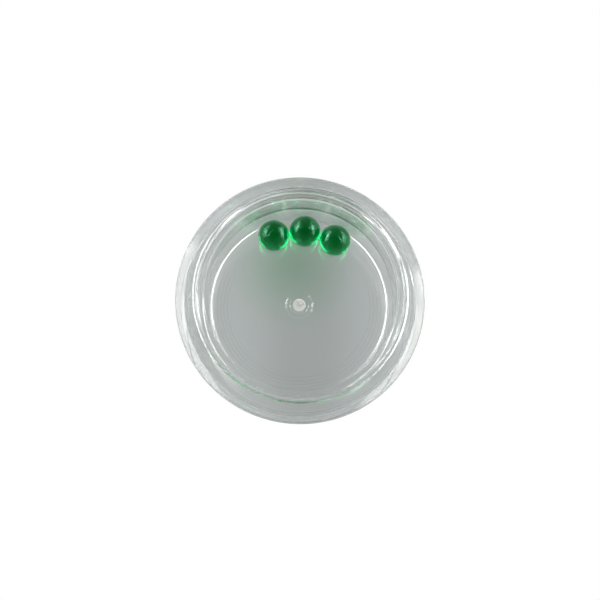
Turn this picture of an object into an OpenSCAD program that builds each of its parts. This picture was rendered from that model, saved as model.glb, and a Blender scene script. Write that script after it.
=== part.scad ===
// Small clear screw-neck jar, made as an inner cup seated in an outer shell,
// with three loose friction balls lying on its floor.
// Origin: centre of the foot, on the surface that the jar stands on. +Z is up.

/* [Jar] */
// Outside diameter of the outer shell at its rim
jar_d = 39.5; // [39:0.5:44]
// Height from the foot to the top of the neck
jar_h = 16.8; // [16.4:0.2:22]
// Height of the neck's top above the outer shell's rim
neck_h = 6.4; // [5.6:0.2:7.2]

/* [Inner cup] */
// Inside diameter at the mouth
mouth_d = 29.8; // [29.6:0.1:30.2]
// Depth from the mouth to the floor
cup_depth = 13.9; // [12.5:0.1:14.2]
// Draft angle of the inside wall, in degrees
cup_draft = 1.8; // [0.5:0.1:2]
// Thickness of the neck and of the cup's wall
cup_wall = 1.15; // [1:0.05:1.3]
// Thickness of the floor
floor_t = 1.2; // [0.8:0.1:1.3]
// Radius of the fillet between the wall and the floor
floor_fillet = 0.4; // [0.2:0.05:0.8]
// Thickness of the shoulder flange that sits in the outer shell
flange_t = 1.3; // [1:0.1:1.8]
// Diameter of the low pad in the middle of the floor
pad_d = 4.7; // [4.4:0.1:6]
// Height of the pad
pad_h = 0.2; // [0.1:0.05:0.25]
// Diameter of the shallow dish in the pad
dish_d = 3.2; // [3.2:0.1:3.4]
// Depth of the dish below the pad's top
dish_depth = 0.1; // [0.05:0.05:0.1]
// Diameter of the gate mark on the pad
gate_d = 2.1; // [1.5:0.1:2.7]
// Height of the gate mark above the pad's top
gate_h = 0.25; // [0.15:0.05:0.4]

/* [Thread] */
// Diameter over the thread's crest
thread_d = 33.5; // [33.1:0.1:34.2]
// Lead of the thread
thread_pitch = 2.0; // [2:0.1:3]
// Length of the thread, in turns
thread_turns = 1.2; // [1:0.1:1.5]
// Distance from the mouth to the middle of the thread's start
thread_start = 1.2; // [1.2:0.1:1.8]
// Where the thread starts, in degrees from +X
thread_angle = 305; // [0:5:355]

/* [Outer shell] */
// Width of the bevelled rim, seen from above
rim_w = 1.35; // [1.2:0.05:1.6]
// Drop of the bevel from the rim to the cup's shoulder
bevel_drop = 1.0; // [0.7:0.1:1.2]
// Width of the ledge that carries the cup's flange
ledge_w = 0.5; // [0.3:0.1:0.8]
// Thickness of the base
base_t = 1.2; // [1:0.1:1.4]
// Depth of the recess inside the foot ring
foot_recess = 0.3; // [0.2:0.05:0.4]

/* [Balls] */
// Diameter of one ball
ball_d = 5.1; // [4:0.1:5.1]
// Direction of the middle ball, in degrees from +X
middle_angle = 85.8; // [60:0.1:120]
// Angle from the middle ball round to the left one
left_step = 24.9; // [24.9:0.1:60]
// Angle from the middle ball round to the right one
right_step = 24.9; // [24.9:0.1:60]

/* [Hidden] */
$fn = 128;

arc_steps = 5;           // chords in one rounded corner
seat_gap = 0.05;         // radial clearance of the flange in the shell
ball_gap = 0.04;         // clearance of a ball to the floor and to the wall

jar_r = jar_d / 2;
rim_z = jar_h - neck_h;
shoulder_z = rim_z - bevel_drop;
flange_z = shoulder_z - flange_t;
floor_z = jar_h - cup_depth;
pad_z = floor_z + pad_h;
dish_z = pad_z - dish_depth;
gate_z = pad_z + gate_h;
mouth_r = mouth_d / 2;
floor_r = mouth_r - cup_depth * tan(cup_draft);
neck_r = mouth_r + cup_wall;
neck_foot_r = neck_r - (jar_h - shoulder_z) * tan(cup_draft);
under_r = floor_r + cup_wall;
seat_r = jar_r - rim_w;
shell_r = seat_r - ledge_w;
shell_draft = 0.5;       // how far the shell's outside leans in at the base
pad_slope = 30;          // angle of the edges of the pad and its dish
pad_top_r = pad_d / 2 - pad_h / tan(pad_slope);
dish_floor_r = dish_d / 2 - dish_depth / tan(pad_slope);

ball_r = ball_d / 2;
ball_z = floor_z + ball_r + ball_gap;
ball_ring = floor_r + ball_r * tan(cup_draft) - ball_gap - ball_r / cos(cup_draft);

thread_steps = 72;       // stations in one turn
thread_root = 0.95;      // half the thread's height where it meets the neck
thread_top = 0.1;        // half the thread's height at its crest
thread_bite = 0.25;      // how far the thread's root is sunk in the neck
thread_fade = 25;        // angle over which each end of the thread runs out

// Unit vector from a to b.
function toward(a, b) = (b - a) / norm(b - a);

// The arc of radius r that rounds the corner at p, between its neighbours a and b.
function corner(a, p, b, r) =
    let (
        u = toward(p, a), v = toward(p, b),
        half = acos(u * v) / 2,
        centre = p + toward([0, 0], u + v) * r / sin(half),
        from = p + u * r / tan(half) - centre,
        to = p + v * r / tan(half) - centre,
        start = atan2(from[1], from[0]),
        turn = atan2(from[0] * to[1] - from[1] * to[0], from * to)
    )
    [for (i = [0:arc_steps]) centre + r * [cos(start + turn * i / arc_steps), sin(start + turn * i / arc_steps)]];

// An outline whose points are [radius, height, corner radius].
function rounded(outline) =
    let (n = len(outline), at = [for (p = outline) [p[0], p[1]]])
    [for (i = [0:n - 1])
        each outline[i][2] > 0
            ? corner(at[(i + n - 1) % n], at[i], at[(i + 1) % n], outline[i][2])
            : [at[i]]];

// How far the thread stands out at angle a: full height, running out at both ends.
function thread_share(a) =
    let (k = min(1, a / thread_fade, (thread_turns * 360 - a) / thread_fade))
    k * k * (3 - 2 * k);

// The four corners of the thread's section at angle a along it. The thread is right-handed,
// so it runs clockwise, seen from above, on its way down.
function thread_section(a) =
    let (
        z = jar_h - thread_start - thread_pitch * a / 360,
        share = thread_share(a),
        r = neck_r - thread_bite / 2 + share * (thread_d / 2 - neck_r + thread_bite / 2)
    )
    [for (p = [[neck_r - thread_bite, thread_root], [r, thread_top],
               [r, -thread_top], [neck_r - thread_bite, -thread_root]])
        [p[0] * cos(thread_angle - a), p[0] * sin(thread_angle - a), z + p[1]]];

module thread() {
    stations = round(thread_turns * thread_steps);
    points = [for (i = [0:stations]) each thread_section(i * thread_turns * 360 / stations)];
    sides = [for (i = [0:stations - 1], k = [0:3])
        let (a = 4 * i + k, b = 4 * i + (k + 1) % 4)
        each [[a, b, b + 4], [a, b + 4, a + 4]]];
    last = 4 * stations;
    ends = [[0, 2, 1], [0, 3, 2], [last, last + 1, last + 2], [last, last + 2, last + 3]];
    polyhedron(points, concat(sides, ends), convexity = 6);
}

module inner_cup() color([0.86, 0.90, 0.89, 0.35]) {
    rotate_extrude() polygon(rounded([
        [0, gate_z, 0], [gate_d / 2, gate_z, 0.1], [gate_d / 2, dish_z, 0.05],
        [dish_floor_r, dish_z, 0.05], [dish_d / 2, pad_z, 0.05],
        [pad_top_r, pad_z, 0.05], [pad_d / 2, floor_z, 0.05],
        [floor_r, floor_z, floor_fillet], [mouth_r, jar_h, 0.05],
        [neck_r, jar_h, 0.05], [neck_foot_r, shoulder_z, 0.05],
        [seat_r - seat_gap, shoulder_z, 0.12], [seat_r - seat_gap, flange_z, 0.12],
        [neck_r, flange_z, 0.05], [under_r, floor_z - floor_t, 0.05], [0, floor_z - floor_t, 0]
    ]));
    thread();
}

module outer_shell() color([0.84, 0.88, 0.88, 0.35])
    rotate_extrude() polygon(rounded([
        [0, base_t, 0], [shell_r, base_t, 0.05], [shell_r, flange_z, 0.1],
        [seat_r, flange_z, 0.08], [seat_r, shoulder_z, 0.05], [jar_r - 0.15, rim_z, 0.08],
        [jar_r, rim_z - 0.15, 0.1], [jar_r - shell_draft, 0, 0.1], [shell_r - 2, 0, 0.1],
        [shell_r - 2.4, foot_recess, 0.1], [0, foot_recess, 0]
    ]));

// One loose ball, lying on the floor against the wall, in the direction a.
module ball(a) color([0.0, 0.42, 0.20, 0.8])
    rotate([0, 0, a]) translate([ball_ring, 0, ball_z]) sphere(r = ball_r);

module ball_left() ball(middle_angle + left_step);
module ball_middle() ball(middle_angle);
module ball_right() ball(middle_angle - right_step);

inner_cup();
outer_shell();
ball_left();
ball_middle();
ball_right();
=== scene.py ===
"""Looks of a small clear screw-neck jar that holds three green friction balls.

Lengths in the outlines are millimetres, and MM turns them into Blender's metres. The outlines repeat the
CAD model's walls and fillets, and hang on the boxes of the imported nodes.
"""
import math

import bmesh
import bpy
from mathutils import Matrix, Vector, noise


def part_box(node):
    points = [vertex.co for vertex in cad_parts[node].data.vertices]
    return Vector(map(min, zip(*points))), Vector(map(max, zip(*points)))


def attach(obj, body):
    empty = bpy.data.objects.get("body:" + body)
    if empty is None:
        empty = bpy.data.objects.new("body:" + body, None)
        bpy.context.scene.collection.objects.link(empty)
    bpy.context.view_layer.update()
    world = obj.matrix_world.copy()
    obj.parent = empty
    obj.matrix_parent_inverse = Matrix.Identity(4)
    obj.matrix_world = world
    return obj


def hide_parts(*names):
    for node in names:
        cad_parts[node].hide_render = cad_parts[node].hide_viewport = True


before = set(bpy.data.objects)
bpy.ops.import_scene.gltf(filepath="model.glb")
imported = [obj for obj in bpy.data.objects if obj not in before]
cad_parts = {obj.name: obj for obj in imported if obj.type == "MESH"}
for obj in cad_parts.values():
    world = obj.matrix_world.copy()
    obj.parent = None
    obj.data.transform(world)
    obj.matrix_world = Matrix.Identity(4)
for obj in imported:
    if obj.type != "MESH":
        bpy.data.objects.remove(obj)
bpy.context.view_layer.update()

MM = 0.001

# ---------------------------------------------------------------- sizes, in mm


def box_mm(node):
    """A CAD node's lowest and highest corners, in mm."""
    low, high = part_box(node)
    return Vector(low) / MM, Vector(high) / MM


cup_high = box_mm("inner_cup")[1]
shell_high = box_mm("outer_shell")[1]

JAR_R = shell_high.x
JAR_H = cup_high.z
RIM_Z = shell_high.z
CUP_DEPTH = 13.9
FLOOR_Z = JAR_H - CUP_DEPTH
FLOOR_T = 1.2
FLOOR_FILLET = 0.4
DRAFT = math.tan(math.radians(1.8))
WALL = 1.15
MOUTH_R = 14.9
FLOOR_R = MOUTH_R - CUP_DEPTH * DRAFT
NECK_R = MOUTH_R + WALL
UNDER_R = FLOOR_R + WALL
BEVEL_DROP = 1.0
RIM_W = 1.35
LEDGE_W = 0.5
FLANGE_T = 1.3
SEAT_GAP = 0.05
SHOULDER_Z = RIM_Z - BEVEL_DROP
FLANGE_Z = SHOULDER_Z - FLANGE_T
SEAT_R = JAR_R - RIM_W
SHELL_R = SEAT_R - LEDGE_W
SHELL_DRAFT = 0.5
BASE_T = 1.2
FOOT_RECESS = 0.3
PAD_R = 2.35
PAD_H = 0.2
PAD_SLOPE = math.tan(math.radians(30))
PAD_TOP_R = PAD_R - PAD_H / PAD_SLOPE
PAD_Z = FLOOR_Z + PAD_H
DISH_R = 1.6
DISH_DEPTH = 0.1
DISH_Z = PAD_Z - DISH_DEPTH
GATE_R = 1.05
GATE_H = 0.25
GATE_Z = PAD_Z + GATE_H
CRATER_R = 0.35
CRATER_EDGE_R = 0.65
CRATER_DEPTH = 0.12
CRATER_Z = GATE_Z - CRATER_DEPTH
TORN_DEPTH = 0.06

THREAD_R = 16.75
THREAD_PITCH = 2.0
THREAD_TURNS = 1.2
THREAD_START = 1.2
THREAD_ANGLE = 305.0
THREAD_ROOT = 0.95
THREAD_TOP = 0.1
THREAD_FADE = 25.0

SEGMENTS = 320
ARC_STEPS = 6
SUPPORT = 0.03  # distance of the ring that keeps a flat face flat beside a fillet

# ---------------------------------------------------------------- mesh helpers


def corner(a, p, b, radius):
    """The arc that rounds the corner p between a and b, with a support point before and after it."""
    u, v = (a - p).normalized(), (b - p).normalized()
    half = math.acos(max(-1.0, min(1.0, u.dot(v)))) / 2
    centre = p + (u + v).normalized() * radius / math.sin(half)
    reach = radius / math.tan(half)
    start, end = p + u * reach - centre, p + v * reach - centre
    first = math.atan2(start.y, start.x)
    turn = math.atan2(start.x * end.y - start.y * end.x, start.dot(end))
    arc = []
    for i in range(ARC_STEPS + 1):
        angle = first + turn * i / ARC_STEPS
        arc.append(centre + radius * Vector((math.cos(angle), math.sin(angle))))
    return [p + u * (reach + SUPPORT)] + arc + [p + v * (reach + SUPPORT)]


def rounded(points):
    """An outline from (radius, height, corner radius) points, all round."""
    at = [Vector(p[:2]) for p in points]
    out = []
    for i, (_, _, radius) in enumerate(points):
        out += corner(at[i - 1], at[i], at[(i + 1) % len(at)], radius) if radius else [at[i]]
    return out


def on_neck(p):
    """True for an outline point on the outside wall of the neck."""
    return SHOULDER_Z < p.y < JAR_H and abs(p.x - neck_radius(p.y)) < 1e-3


def neck_radius(z):
    """Radius of the neck's outside wall at a height."""
    return NECK_R - (JAR_H - z) * DRAFT


def filled_in(outline, step):
    """The outline with the straight stretch of the neck's outside wall cut into short steps."""
    out = []
    for a, b in zip(outline, outline[1:] + outline[:1]):
        out.append(a)
        if on_neck(a) and on_neck(b):
            cuts = max(1, round(abs(b.y - a.y) / step))
            out += [a.lerp(b, k / cuts) for k in range(1, cuts)]
    return out


def lathe(name, outline, shift=None):
    """A closed solid turned from the outline; shift(angle, r, z) adds to a ring point's radius."""
    bm = bmesh.new()
    rings = []
    for p in outline:
        if p.x < 1e-6:
            rings.append([bm.verts.new((0, 0, p.y * MM))])
            continue
        ring = []
        for i in range(SEGMENTS):
            angle = 2 * math.pi * i / SEGMENTS
            r = p.x + (shift(angle, p.x, p.y) if shift else 0.0)
            ring.append(bm.verts.new((r * MM * math.cos(angle), r * MM * math.sin(angle), p.y * MM)))
        rings.append(ring)
    for a, b in zip(rings, rings[1:] + rings[:1]):
        if len(a) == 1 and len(b) == 1:
            continue
        for i in range(SEGMENTS):
            j = (i + 1) % SEGMENTS
            if len(a) == 1:
                bm.faces.new((a[0], b[i], b[j]))
            elif len(b) == 1:
                bm.faces.new((a[i], a[j], b[0]))
            else:
                bm.faces.new((a[i], a[j], b[j], b[i]))
    bmesh.ops.recalc_face_normals(bm, faces=bm.faces)
    return finish_mesh(name, bm)


def finish_mesh(name, bm):
    """A smooth-shaded piece in the scene, made from the bmesh."""
    mesh = bpy.data.meshes.new(name)
    bm.to_mesh(mesh)
    bm.free()
    for face in mesh.polygons:
        face.use_smooth = True
    piece = bpy.data.objects.new(name, mesh)
    bpy.context.collection.objects.link(piece)
    return piece


# ---------------------------------------------------------------- material helpers


class Nodes:
    """The node tree of a material or of the world, with short calls to add and join nodes."""

    def __init__(self, owner, output="Material Output", place="Object"):
        owner.use_nodes = True
        self.owner = owner
        self.tree = owner.node_tree
        self.output = self.tree.nodes[output]
        self.shader = self.output.inputs["Surface"].links[0].from_node
        self.place = self.add("ShaderNodeTexCoord").outputs[place]

    def add(self, kind, inputs=(), **settings):
        node = self.tree.nodes.new(kind)
        for key, value in settings.items():
            setattr(node, key, value)
        for key, value in dict(inputs).items():
            self.join(value, node.inputs[key])
        return node

    def join(self, value, socket):
        if isinstance(value, bpy.types.NodeSocket):
            self.tree.links.new(value, socket)
        else:
            socket.default_value = value

    def maths(self, operation, a, b=0.0):
        return self.add("ShaderNodeMath", {0: a, 1: b}, operation=operation).outputs[0]

    def product(self, *values):
        out = values[0]
        for value in values[1:]:
            out = self.maths("MULTIPLY", out, value)
        return out

    def blend(self, factor, a, b):
        """The colour a where factor is 0, and b where it is 1."""
        node = self.add("ShaderNodeMix", {"Factor": factor}, data_type="RGBA")
        colour_inputs = [s for s in node.inputs if s.type == "RGBA"]
        for value, socket in zip((a, b), colour_inputs):
            self.join(value if isinstance(value, bpy.types.NodeSocket) else (*value, 1.0), socket)
        return [s for s in node.outputs if s.type == "RGBA"][0]

    def spread(self, value, low, high, to_low=0.0, to_high=1.0):
        """value mapped smoothly from low..high to to_low..to_high."""
        node = self.add(
            "ShaderNodeMapRange",
            {"Value": value, "From Min": low, "From Max": high, "To Min": to_low, "To Max": to_high},
            interpolation_type="SMOOTHSTEP",
        )
        return node.outputs["Result"]

    def noise(self, scale, detail=3.0, roughness=0.5, stretch=None):
        place = self.place
        if stretch:
            place = self.add("ShaderNodeMapping", {"Vector": place, "Scale": stretch}).outputs[0]
        node = self.add(
            "ShaderNodeTexNoise",
            {"Vector": place, "Scale": scale, "Detail": detail, "Roughness": roughness},
        )
        return node.outputs["Fac"]

    def from_axis(self):
        """Distance from the jar's axis and height, both in metres."""
        parts = self.add("ShaderNodeSeparateXYZ", {0: self.place})
        flat = self.add("ShaderNodeCombineXYZ", {0: parts.outputs[0], 1: parts.outputs[1]})
        length = self.add("ShaderNodeVectorMath", {0: flat.outputs[0]}, operation="LENGTH")
        return length.outputs["Value"], parts.outputs[2]

    def bump(self, height, distance):
        node = self.add("ShaderNodeBump", {"Height": height, "Distance": distance, "Strength": 1.0})
        self.join(node.outputs[0], self.shader.inputs["Normal"])


# ---------------------------------------------------------------- materials

PLASTIC_IOR = 1.50
BALL_IOR = 1.56
BALL_DENSITY = 1000.0
FLOW_WAVES = 11000.0  # radians per metre, so one flow ring every 0.57 mm


def scratch(n, x, y, turn, length):
    """1 along a fine straight scratch round (x, y), in mm, turned from the X axis by some degrees."""
    parts = n.add("ShaderNodeSeparateXYZ", {0: n.place})
    across_x = n.maths("SUBTRACT", parts.outputs[0], x * MM)
    across_y = n.maths("SUBTRACT", parts.outputs[1], y * MM)
    c, s = math.cos(math.radians(turn)), math.sin(math.radians(turn))
    along = n.maths("ADD", n.product(across_x, c), n.product(across_y, s))
    aside = n.maths("SUBTRACT", n.product(across_y, c), n.product(across_x, s))
    reach = n.spread(n.maths("ABSOLUTE", along), length / 2 * MM, length / 4 * MM)
    width = n.spread(n.maths("ABSOLUTE", aside), 0.09 * MM, 0.02 * MM)
    return n.product(reach, width)


def clear_plastic(name, tint, rough, ripple):
    """Clear moulded plastic: flow rings in the floor, scuffs, scratches, and small changes of gloss."""
    n = Nodes(bpy.data.materials.new(name))
    radius, height = n.from_axis()
    wobble = n.product(n.noise(160.0, 2.0), 0.0006)
    rings = n.maths("SINE", n.product(n.maths("ADD", radius, wobble), FLOW_WAVES))
    zone = n.product(n.spread(radius, 10.5 * MM, 12.0 * MM), n.spread(radius, 14.2 * MM, 13.6 * MM))
    flow = n.product(rings, zone)
    scuffs = n.spread(n.noise(2600.0, 4.0, 0.65, (1.0, 1.0, 3.0)), 0.60, 0.72)
    crest = n.product(n.spread(radius, 15.8 * MM, 16.6 * MM), n.spread(height, 12.0 * MM, 13.0 * MM))
    worn = n.product(scuffs, crest)
    lines = n.maths("ADD", scratch(n, -17.1, 1.6, 52, 2.6), scratch(n, -17.3, 0.4, 40, 2.0))
    lines = n.maths("ADD", lines, n.product(scratch(n, 8.1, 6.0, 108, 4.0), 0.3))
    dents = n.noise(420.0, 2.0)
    relief = n.maths("ADD", n.product(scuffs, 0.3), n.maths("ADD", dents, n.product(worn, 6.0)))
    n.bump(relief, ripple * MM)
    cloud = n.noise(90.0, 3.0)
    gloss = n.maths("ADD", n.spread(cloud, 0.35, 0.75, rough * 0.5, rough * 1.5), n.product(scuffs, 0.04))
    n.join(n.maths("ADD", gloss, n.product(lines, 0.5)), n.shader.inputs["Roughness"])
    hazy = [0.93 * c for c in tint]
    n.join(n.blend(n.spread(flow, 0.2, 1.0, 0.0, 0.35), tint, hazy), n.shader.inputs["Base Color"])
    n.shader.inputs["Transmission Weight"].default_value = 1.0
    n.shader.inputs["IOR"].default_value = PLASTIC_IOR
    return n.owner


def torn_plastic_painted_glow():
    """The whitened, broken end of the gate mark, with a faint painted glow that makes it brighter."""
    n = Nodes(bpy.data.materials.new("torn_plastic_painted_glow"))
    radius, _ = n.from_axis()
    grain = n.product(n.noise(4300.0, 4.0, 0.7), n.spread(radius, 0.1 * MM, 0.55 * MM, 0.75, 1.0))
    n.bump(grain, 0.10 * MM)
    n.join(n.spread(grain, 0.3, 0.7, 0.3, 0.6), n.shader.inputs["Roughness"])
    whitened = n.spread(grain, 0.30, 0.55)
    n.join(n.blend(whitened, (0.50, 0.52, 0.50), (0.93, 0.94, 0.92)), n.shader.inputs["Base Color"])
    # painted light: a faint white glow, so the nub looks brighter than the light reaching it makes it
    n.shader.inputs["Emission Color"].default_value = (1.0, 1.0, 0.97, 1.0)
    n.shader.inputs["Emission Strength"].default_value = 0.14
    n.shader.inputs["IOR"].default_value = PLASTIC_IOR
    return n.owner


def green_ball():
    """Deep green clear plastic, coloured all the way through, with a faint skin texture."""
    n = Nodes(bpy.data.materials.new("green_ball"))
    n.bump(n.noise(900.0, 3.0), 0.003 * MM)
    n.join(n.spread(n.noise(260.0, 2.0), 0.35, 0.7, 0.01, 0.03), n.shader.inputs["Roughness"])
    n.shader.inputs["Base Color"].default_value = (0.01, 0.80, 0.52, 1.0)
    n.shader.inputs["Specular Tint"].default_value = (0.35, 1.0, 0.72, 1.0)
    n.shader.inputs["Specular IOR Level"].default_value = 0.35
    n.shader.inputs["Transmission Weight"].default_value = 1.0
    n.shader.inputs["IOR"].default_value = BALL_IOR
    inside = n.add("ShaderNodeVolumeAbsorption", {"Color": (0.0, 0.88, 0.64, 1.0), "Density": BALL_DENSITY})
    n.join(inside.outputs[0], n.output.inputs["Volume"])
    return n.owner


# ---------------------------------------------------------------- pieces


def thread_profile(drop):
    """Share of the thread's full height at a distance from its middle line; its crest is rounded."""
    k = (abs(drop) - THREAD_TOP) / (THREAD_ROOT - THREAD_TOP)
    return 1 - max(0.0, min(1.0, k)) ** 0.78


def thread_shift(angle, r, z):
    """How far the thread stands out from the neck at an angle and a height."""
    if not on_neck(Vector((r, z))):
        return 0.0
    turned = (THREAD_ANGLE - math.degrees(angle)) % 360
    high = 0.0
    while turned < THREAD_TURNS * 360:
        middle = JAR_H - THREAD_START - THREAD_PITCH * turned / 360
        k = max(0.0, min(1.0, turned / THREAD_FADE, (THREAD_TURNS * 360 - turned) / THREAD_FADE))
        high = max(high, k * k * (3 - 2 * k) * thread_profile(z - middle))
        turned += 360
    return high * (THREAD_R - r)


def make_cup():
    """The cup in one turned piece, with its thread and the torn top of its gate mark."""
    edge = SEAT_R - SEAT_GAP
    under = FLOOR_Z - FLOOR_T
    lift = 0.02  # keeps the flange's glass just off the ledge's
    outline = rounded([
        (0, CRATER_Z, 0), (CRATER_R, CRATER_Z, 0.1), (CRATER_EDGE_R, GATE_Z, 0.15),
        (GATE_R, GATE_Z, 0.12), (GATE_R, DISH_Z, 0.05), (DISH_R - DISH_DEPTH / PAD_SLOPE, DISH_Z, 0.05),
        (DISH_R, PAD_Z, 0.05), (PAD_TOP_R, PAD_Z, 0.05), (PAD_R, FLOOR_Z, 0.05),
        (FLOOR_R, FLOOR_Z, FLOOR_FILLET), (MOUTH_R, JAR_H, 0.05), (NECK_R, JAR_H, 0.05),
        (neck_radius(SHOULDER_Z), SHOULDER_Z, 0.05), (edge, SHOULDER_Z, 0.12), (edge, FLANGE_Z + lift, 0.12),
        (NECK_R, FLANGE_Z + lift, 0.05), (UNDER_R, under, 0.05), (0, under, 0),
    ])
    outline = filled_in(outline, 0.04)
    cup = lathe("clear_cup", outline, thread_shift)
    cup.data.materials.append(clear_plastic("clear_cup", (0.965, 0.975, 0.97), 0.01, 0.001))
    cup.data.materials.append(torn_plastic_painted_glow())
    for v in cup.data.vertices:
        if v.co.z > PAD_Z * MM and math.hypot(v.co.x, v.co.y) < (GATE_R + 0.01) * MM:
            v.co.z -= TORN_DEPTH * MM * (0.5 + 0.5 * noise.noise(v.co * 2200.0))
    for face in cup.data.polygons:
        c = face.center / MM
        if c.z > PAD_Z + 0.02 and math.hypot(c.x, c.y) < GATE_R + 0.01:
            face.material_index = 1
    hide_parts("inner_cup")
    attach(cup, "jar")


def make_shell():
    """The outer wall with its bevelled rim, the base and the foot ring."""
    outline = rounded([
        (0, BASE_T, 0), (SHELL_R, BASE_T, 0.05), (SHELL_R, FLANGE_Z, 0.1),
        (SEAT_R, FLANGE_Z, 0.08), (SEAT_R, SHOULDER_Z, 0.05), (JAR_R - 0.15, RIM_Z, 0.08),
        (JAR_R, RIM_Z - 0.15, 0.1), (JAR_R - SHELL_DRAFT, 0, 0.1), (SHELL_R - 2, 0, 0.1),
        (SHELL_R - 2.4, FOOT_RECESS, 0.1), (0, FOOT_RECESS, 0),
    ])
    shell = lathe("clear_shell", outline)
    shell.data.materials.append(clear_plastic("clear_shell", (0.965, 0.972, 0.978), 0.015, 0.001))
    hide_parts("outer_shell")
    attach(shell, "jar")


def make_ball(node, material):
    """A moulded ball: a cube's faces swelled to a sphere, a little uneven, with a faint seam."""
    swell, unevenness, seam_height, seam_width = 0.9985, 0.0015, 0.0015, 0.02  # in ball radii
    low, high = (Vector(c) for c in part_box(node))
    centre, radius = (low + high) / 2, (high.x - low.x) / 2
    bm = bmesh.new()
    bmesh.ops.create_cube(bm, size=2.0)
    bmesh.ops.subdivide_edges(bm, edges=bm.edges[:], cuts=39, use_grid_fill=True)
    for v in bm.verts:
        x, y, z = (math.tan(c * math.pi / 4) for c in v.co)
        way = Vector((x, y, z)).normalized()
        uneven = unevenness * (noise.noise(way * 1.7 + centre * 300) - 0.5)
        seam = seam_height * math.exp(-(((way.y * 0.8 + way.z * 0.6) / seam_width) ** 2))
        v.co = centre + way * radius * (swell + uneven + seam)
    piece = finish_mesh("green_" + node, bm)
    piece.data.materials.append(material)
    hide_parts(node)
    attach(piece, node)


# ---------------------------------------------------------------- stage, light and camera

BALLS = ("ball_left", "ball_middle", "ball_right")
# strength of the painted light the paper gives off, as the glass sees it
PAPER_PAINTED_LIGHT = 0.49
ROOM = 0.50  # brightness of the room's walls
BOX = 6.0  # brightness of the soft boxes
CORE = 9.0  # what their middles add to that
BOX_EDGE = 5.0  # half the width of a soft box's edge, in degrees

CAMERA_ABOVE_MOUTH = 173.0
CAMERA_TILT = math.radians(8.7)
CAMERA_SIDE = math.radians(-10.0)


def make_floor():
    """Pale paper, white to the camera. The glass sees it glow with painted light, dimmer through the middle,
    with a painted green shade by the balls and a painted shadow under each one.
    """
    bpy.ops.mesh.primitive_plane_add(size=6.0, location=(0, 0, -0.02 * MM))
    floor = bpy.context.object
    floor.name = "floor"
    n = Nodes(bpy.data.materials.new("floor"))
    n.tree.nodes.remove(n.shader)
    # painted shade: the paper's light fades to a dim green in a wide patch round a point by the balls, where
    # their shade falls
    low, high = box_mm("ball_middle")
    beside = Vector((-1.0, (low.y + high.y) / 2 - 4.5, 0.0)) * MM
    away = n.add("ShaderNodeVectorMath", {0: n.place, 1: beside}, operation="DISTANCE").outputs["Value"]
    shade = n.spread(away, 0.0, 13.0 * MM, 1.0, 0.0)
    glow = n.blend(shade, (0.940, 1.0, 0.98), (0.60, 0.84, 0.66))
    # painted shadow: a dark green spot on the paper under each ball, which the ball shows as its dark middle
    for node in BALLS:
        low, high = box_mm(node)
        under = Vector(((low.x + high.x) / 2, (low.y + high.y) / 2 + 0.6, 0.0)) * MM
        away = n.add("ShaderNodeVectorMath", {0: n.place, 1: under}, operation="DISTANCE").outputs["Value"]
        glow = n.blend(n.spread(away, 0.8 * MM, 3.0 * MM, 0.85, 0.0), glow, (0.0, 0.36, 0.15))
    # painted light: the paper's glow is a little dimmer along a band through the middle and brighter further
    # out to the left and right
    x = n.add("ShaderNodeSeparateXYZ", {0: n.place}).outputs[0]
    aside = n.maths("ABSOLUTE", n.maths("SUBTRACT", x, 1.5 * MM))
    painted_light_strength = n.spread(aside, 1.0 * MM, 12.0 * MM, 0.82 * PAPER_PAINTED_LIGHT, PAPER_PAINTED_LIGHT)
    paper = n.add("ShaderNodeBsdfDiffuse", {"Color": (0.22, 0.22, 0.22, 1.0)})
    # the paper glows with this painted light, though it is no lamp; the camera itself sees plain white
    lit = n.add("ShaderNodeEmission", {"Color": glow, "Strength": painted_light_strength})
    seen = n.add("ShaderNodeAddShader", {0: paper.outputs[0], 1: lit.outputs[0]})
    white = n.add("ShaderNodeEmission")
    to_camera = n.add("ShaderNodeLightPath").outputs["Is Camera Ray"]
    mix = n.add("ShaderNodeMixShader", {0: to_camera, 1: seen.outputs[0], 2: white.outputs[0]})
    n.join(mix.outputs[0], n.output.inputs["Surface"])
    floor.data.materials.append(n.owner)


def soft_box(n, x, y, z, azimuth, half_width, low, high):
    """1 inside a soft-edged box of sky round an azimuth, between two elevations; all in degrees."""
    a = math.radians(azimuth)

    def sine(degrees):
        return math.sin(math.radians(degrees))

    def cosine(degrees):
        return math.cos(math.radians(degrees))

    flat = n.maths("SQRT", n.maths("ADD", n.product(x, x), n.product(y, y)))
    along = n.maths("ADD", n.product(x, math.cos(a)), n.product(y, math.sin(a)))
    facing = n.maths("DIVIDE", along, flat)
    across = n.spread(facing, cosine(half_width + BOX_EDGE), cosine(half_width - BOX_EDGE))
    above = n.spread(z, sine(low - BOX_EDGE), sine(low + BOX_EDGE))
    below = n.spread(z, sine(high + BOX_EDGE), sine(high - BOX_EDGE))
    return n.product(across, above, below)


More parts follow.
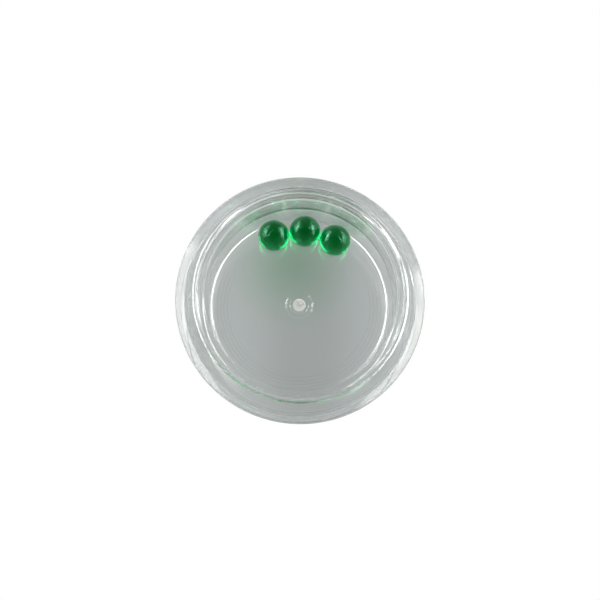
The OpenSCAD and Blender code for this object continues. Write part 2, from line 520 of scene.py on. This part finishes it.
def make_room():
    """A plain grey room, dimmer overhead, ahead and behind, with a soft box of light on each side."""
    world = bpy.data.worlds.new("room")
    bpy.context.scene.world = world
    n = Nodes(world, "World Output", "Generated")
    x, y, z = n.add("ShaderNodeSeparateXYZ", {0: n.place}).outputs
    overhead = n.spread(z, 0.45, 0.97, 1.0, 0.12)
    behind = n.spread(y, -0.45, -0.95, 1.0, 0.35)
    ahead = n.spread(y, 0.45, 0.95, 1.0, 0.8)
    far = n.spread(y, 0.5, 0.9)
    tint = n.blend(far, (0.90, 0.90, 0.95), (0.92, 0.86, 0.86))
    glow = n.product(overhead, behind, ahead, ROOM)
    walls = n.add("ShaderNodeBackground", {"Color": tint, "Strength": glow})
    left_box = soft_box(n, x, y, z, azimuth=150, half_width=35, low=6, high=34)
    right_box = soft_box(n, x, y, z, azimuth=18, half_width=38, low=6, high=34)
    left_core = soft_box(n, x, y, z, azimuth=152, half_width=12, low=18, high=34)
    right_core = soft_box(n, x, y, z, azimuth=22, half_width=12, low=18, high=34)
    boxes = n.maths("ADD", left_box, right_box)
    cores = n.maths("ADD", left_core, right_core)
    power = n.maths("ADD", n.product(boxes, BOX), n.product(cores, CORE))
    lit = n.add("ShaderNodeBackground", {"Color": (1.0, 0.99, 0.96, 1.0), "Strength": power})
    both = n.add("ShaderNodeAddShader", {0: walls.outputs[0], 1: lit.outputs[0]})
    pale = n.add("ShaderNodeBackground", {"Color": (1.0, 1.0, 1.0, 1.0), "Strength": 1.0})
    to_camera = n.add("ShaderNodeLightPath").outputs["Is Camera Ray"]
    mix = n.add("ShaderNodeMixShader", {0: to_camera, 1: both.outputs[0], 2: pale.outputs[0]})
    n.join(mix.outputs[0], n.output.inputs["Surface"])


def make_lamp(azimuth, elevation, size, radiance, distance):
    """A small square lamp aimed at the jar, which the balls mirror as a dot."""
    light = bpy.data.lights.new("small_lamp", "AREA")
    light.size = size
    light.energy = radiance * math.pi * size * size
    lamp = bpy.data.objects.new("small_lamp", light)
    bpy.context.collection.objects.link(lamp)
    a, e = math.radians(azimuth), math.radians(elevation)
    lamp.location = distance * Vector((math.cos(e) * math.cos(a), math.cos(e) * math.sin(a), math.sin(e)))
    aim = Vector((0, 0, FLOOR_Z * MM)) - lamp.location
    lamp.rotation_euler = aim.to_track_quat("-Z", "Y").to_euler()


def make_camera():
    """Looks down at the outer rim's middle, nearly 9 degrees off the vertical."""
    data = bpy.data.cameras.new("camera")
    camera = bpy.data.objects.new("camera", data)
    bpy.context.collection.objects.link(camera)
    height = JAR_H + CAMERA_ABOVE_MOUTH
    aside = math.tan(CAMERA_TILT) * (height - RIM_Z)
    place = Vector((math.sin(CAMERA_SIDE) * aside, -math.cos(CAMERA_SIDE) * aside, height))
    camera.location = place * MM
    aim = Vector((-0.06, -0.22, RIM_Z)) * MM
    back = (camera.location - aim).normalized()
    up = Vector((0, 1, 0))
    up = (up - back * up.dot(back)).normalized()
    camera.rotation_euler = Matrix((up.cross(back), up, back)).transposed().to_euler()
    data.sensor_width = 36.0
    data.lens = 68.88
    data.clip_start = 0.005
    bpy.context.scene.camera = camera


# ---------------------------------------------------------------- the scene

scene = bpy.context.scene
scene.view_settings.view_transform = "Standard"
scene.cycles.max_bounces = 24
scene.cycles.transmission_bounces = 24
scene.cycles.glossy_bounces = 8

make_camera()
make_cup()
make_shell()
ball_material = green_ball()
for ball_node in BALLS:
    make_ball(ball_node, ball_material)

make_floor()
make_room()
make_lamp(azimuth=207, elevation=52, size=0.03, radiance=9.0, distance=0.5)
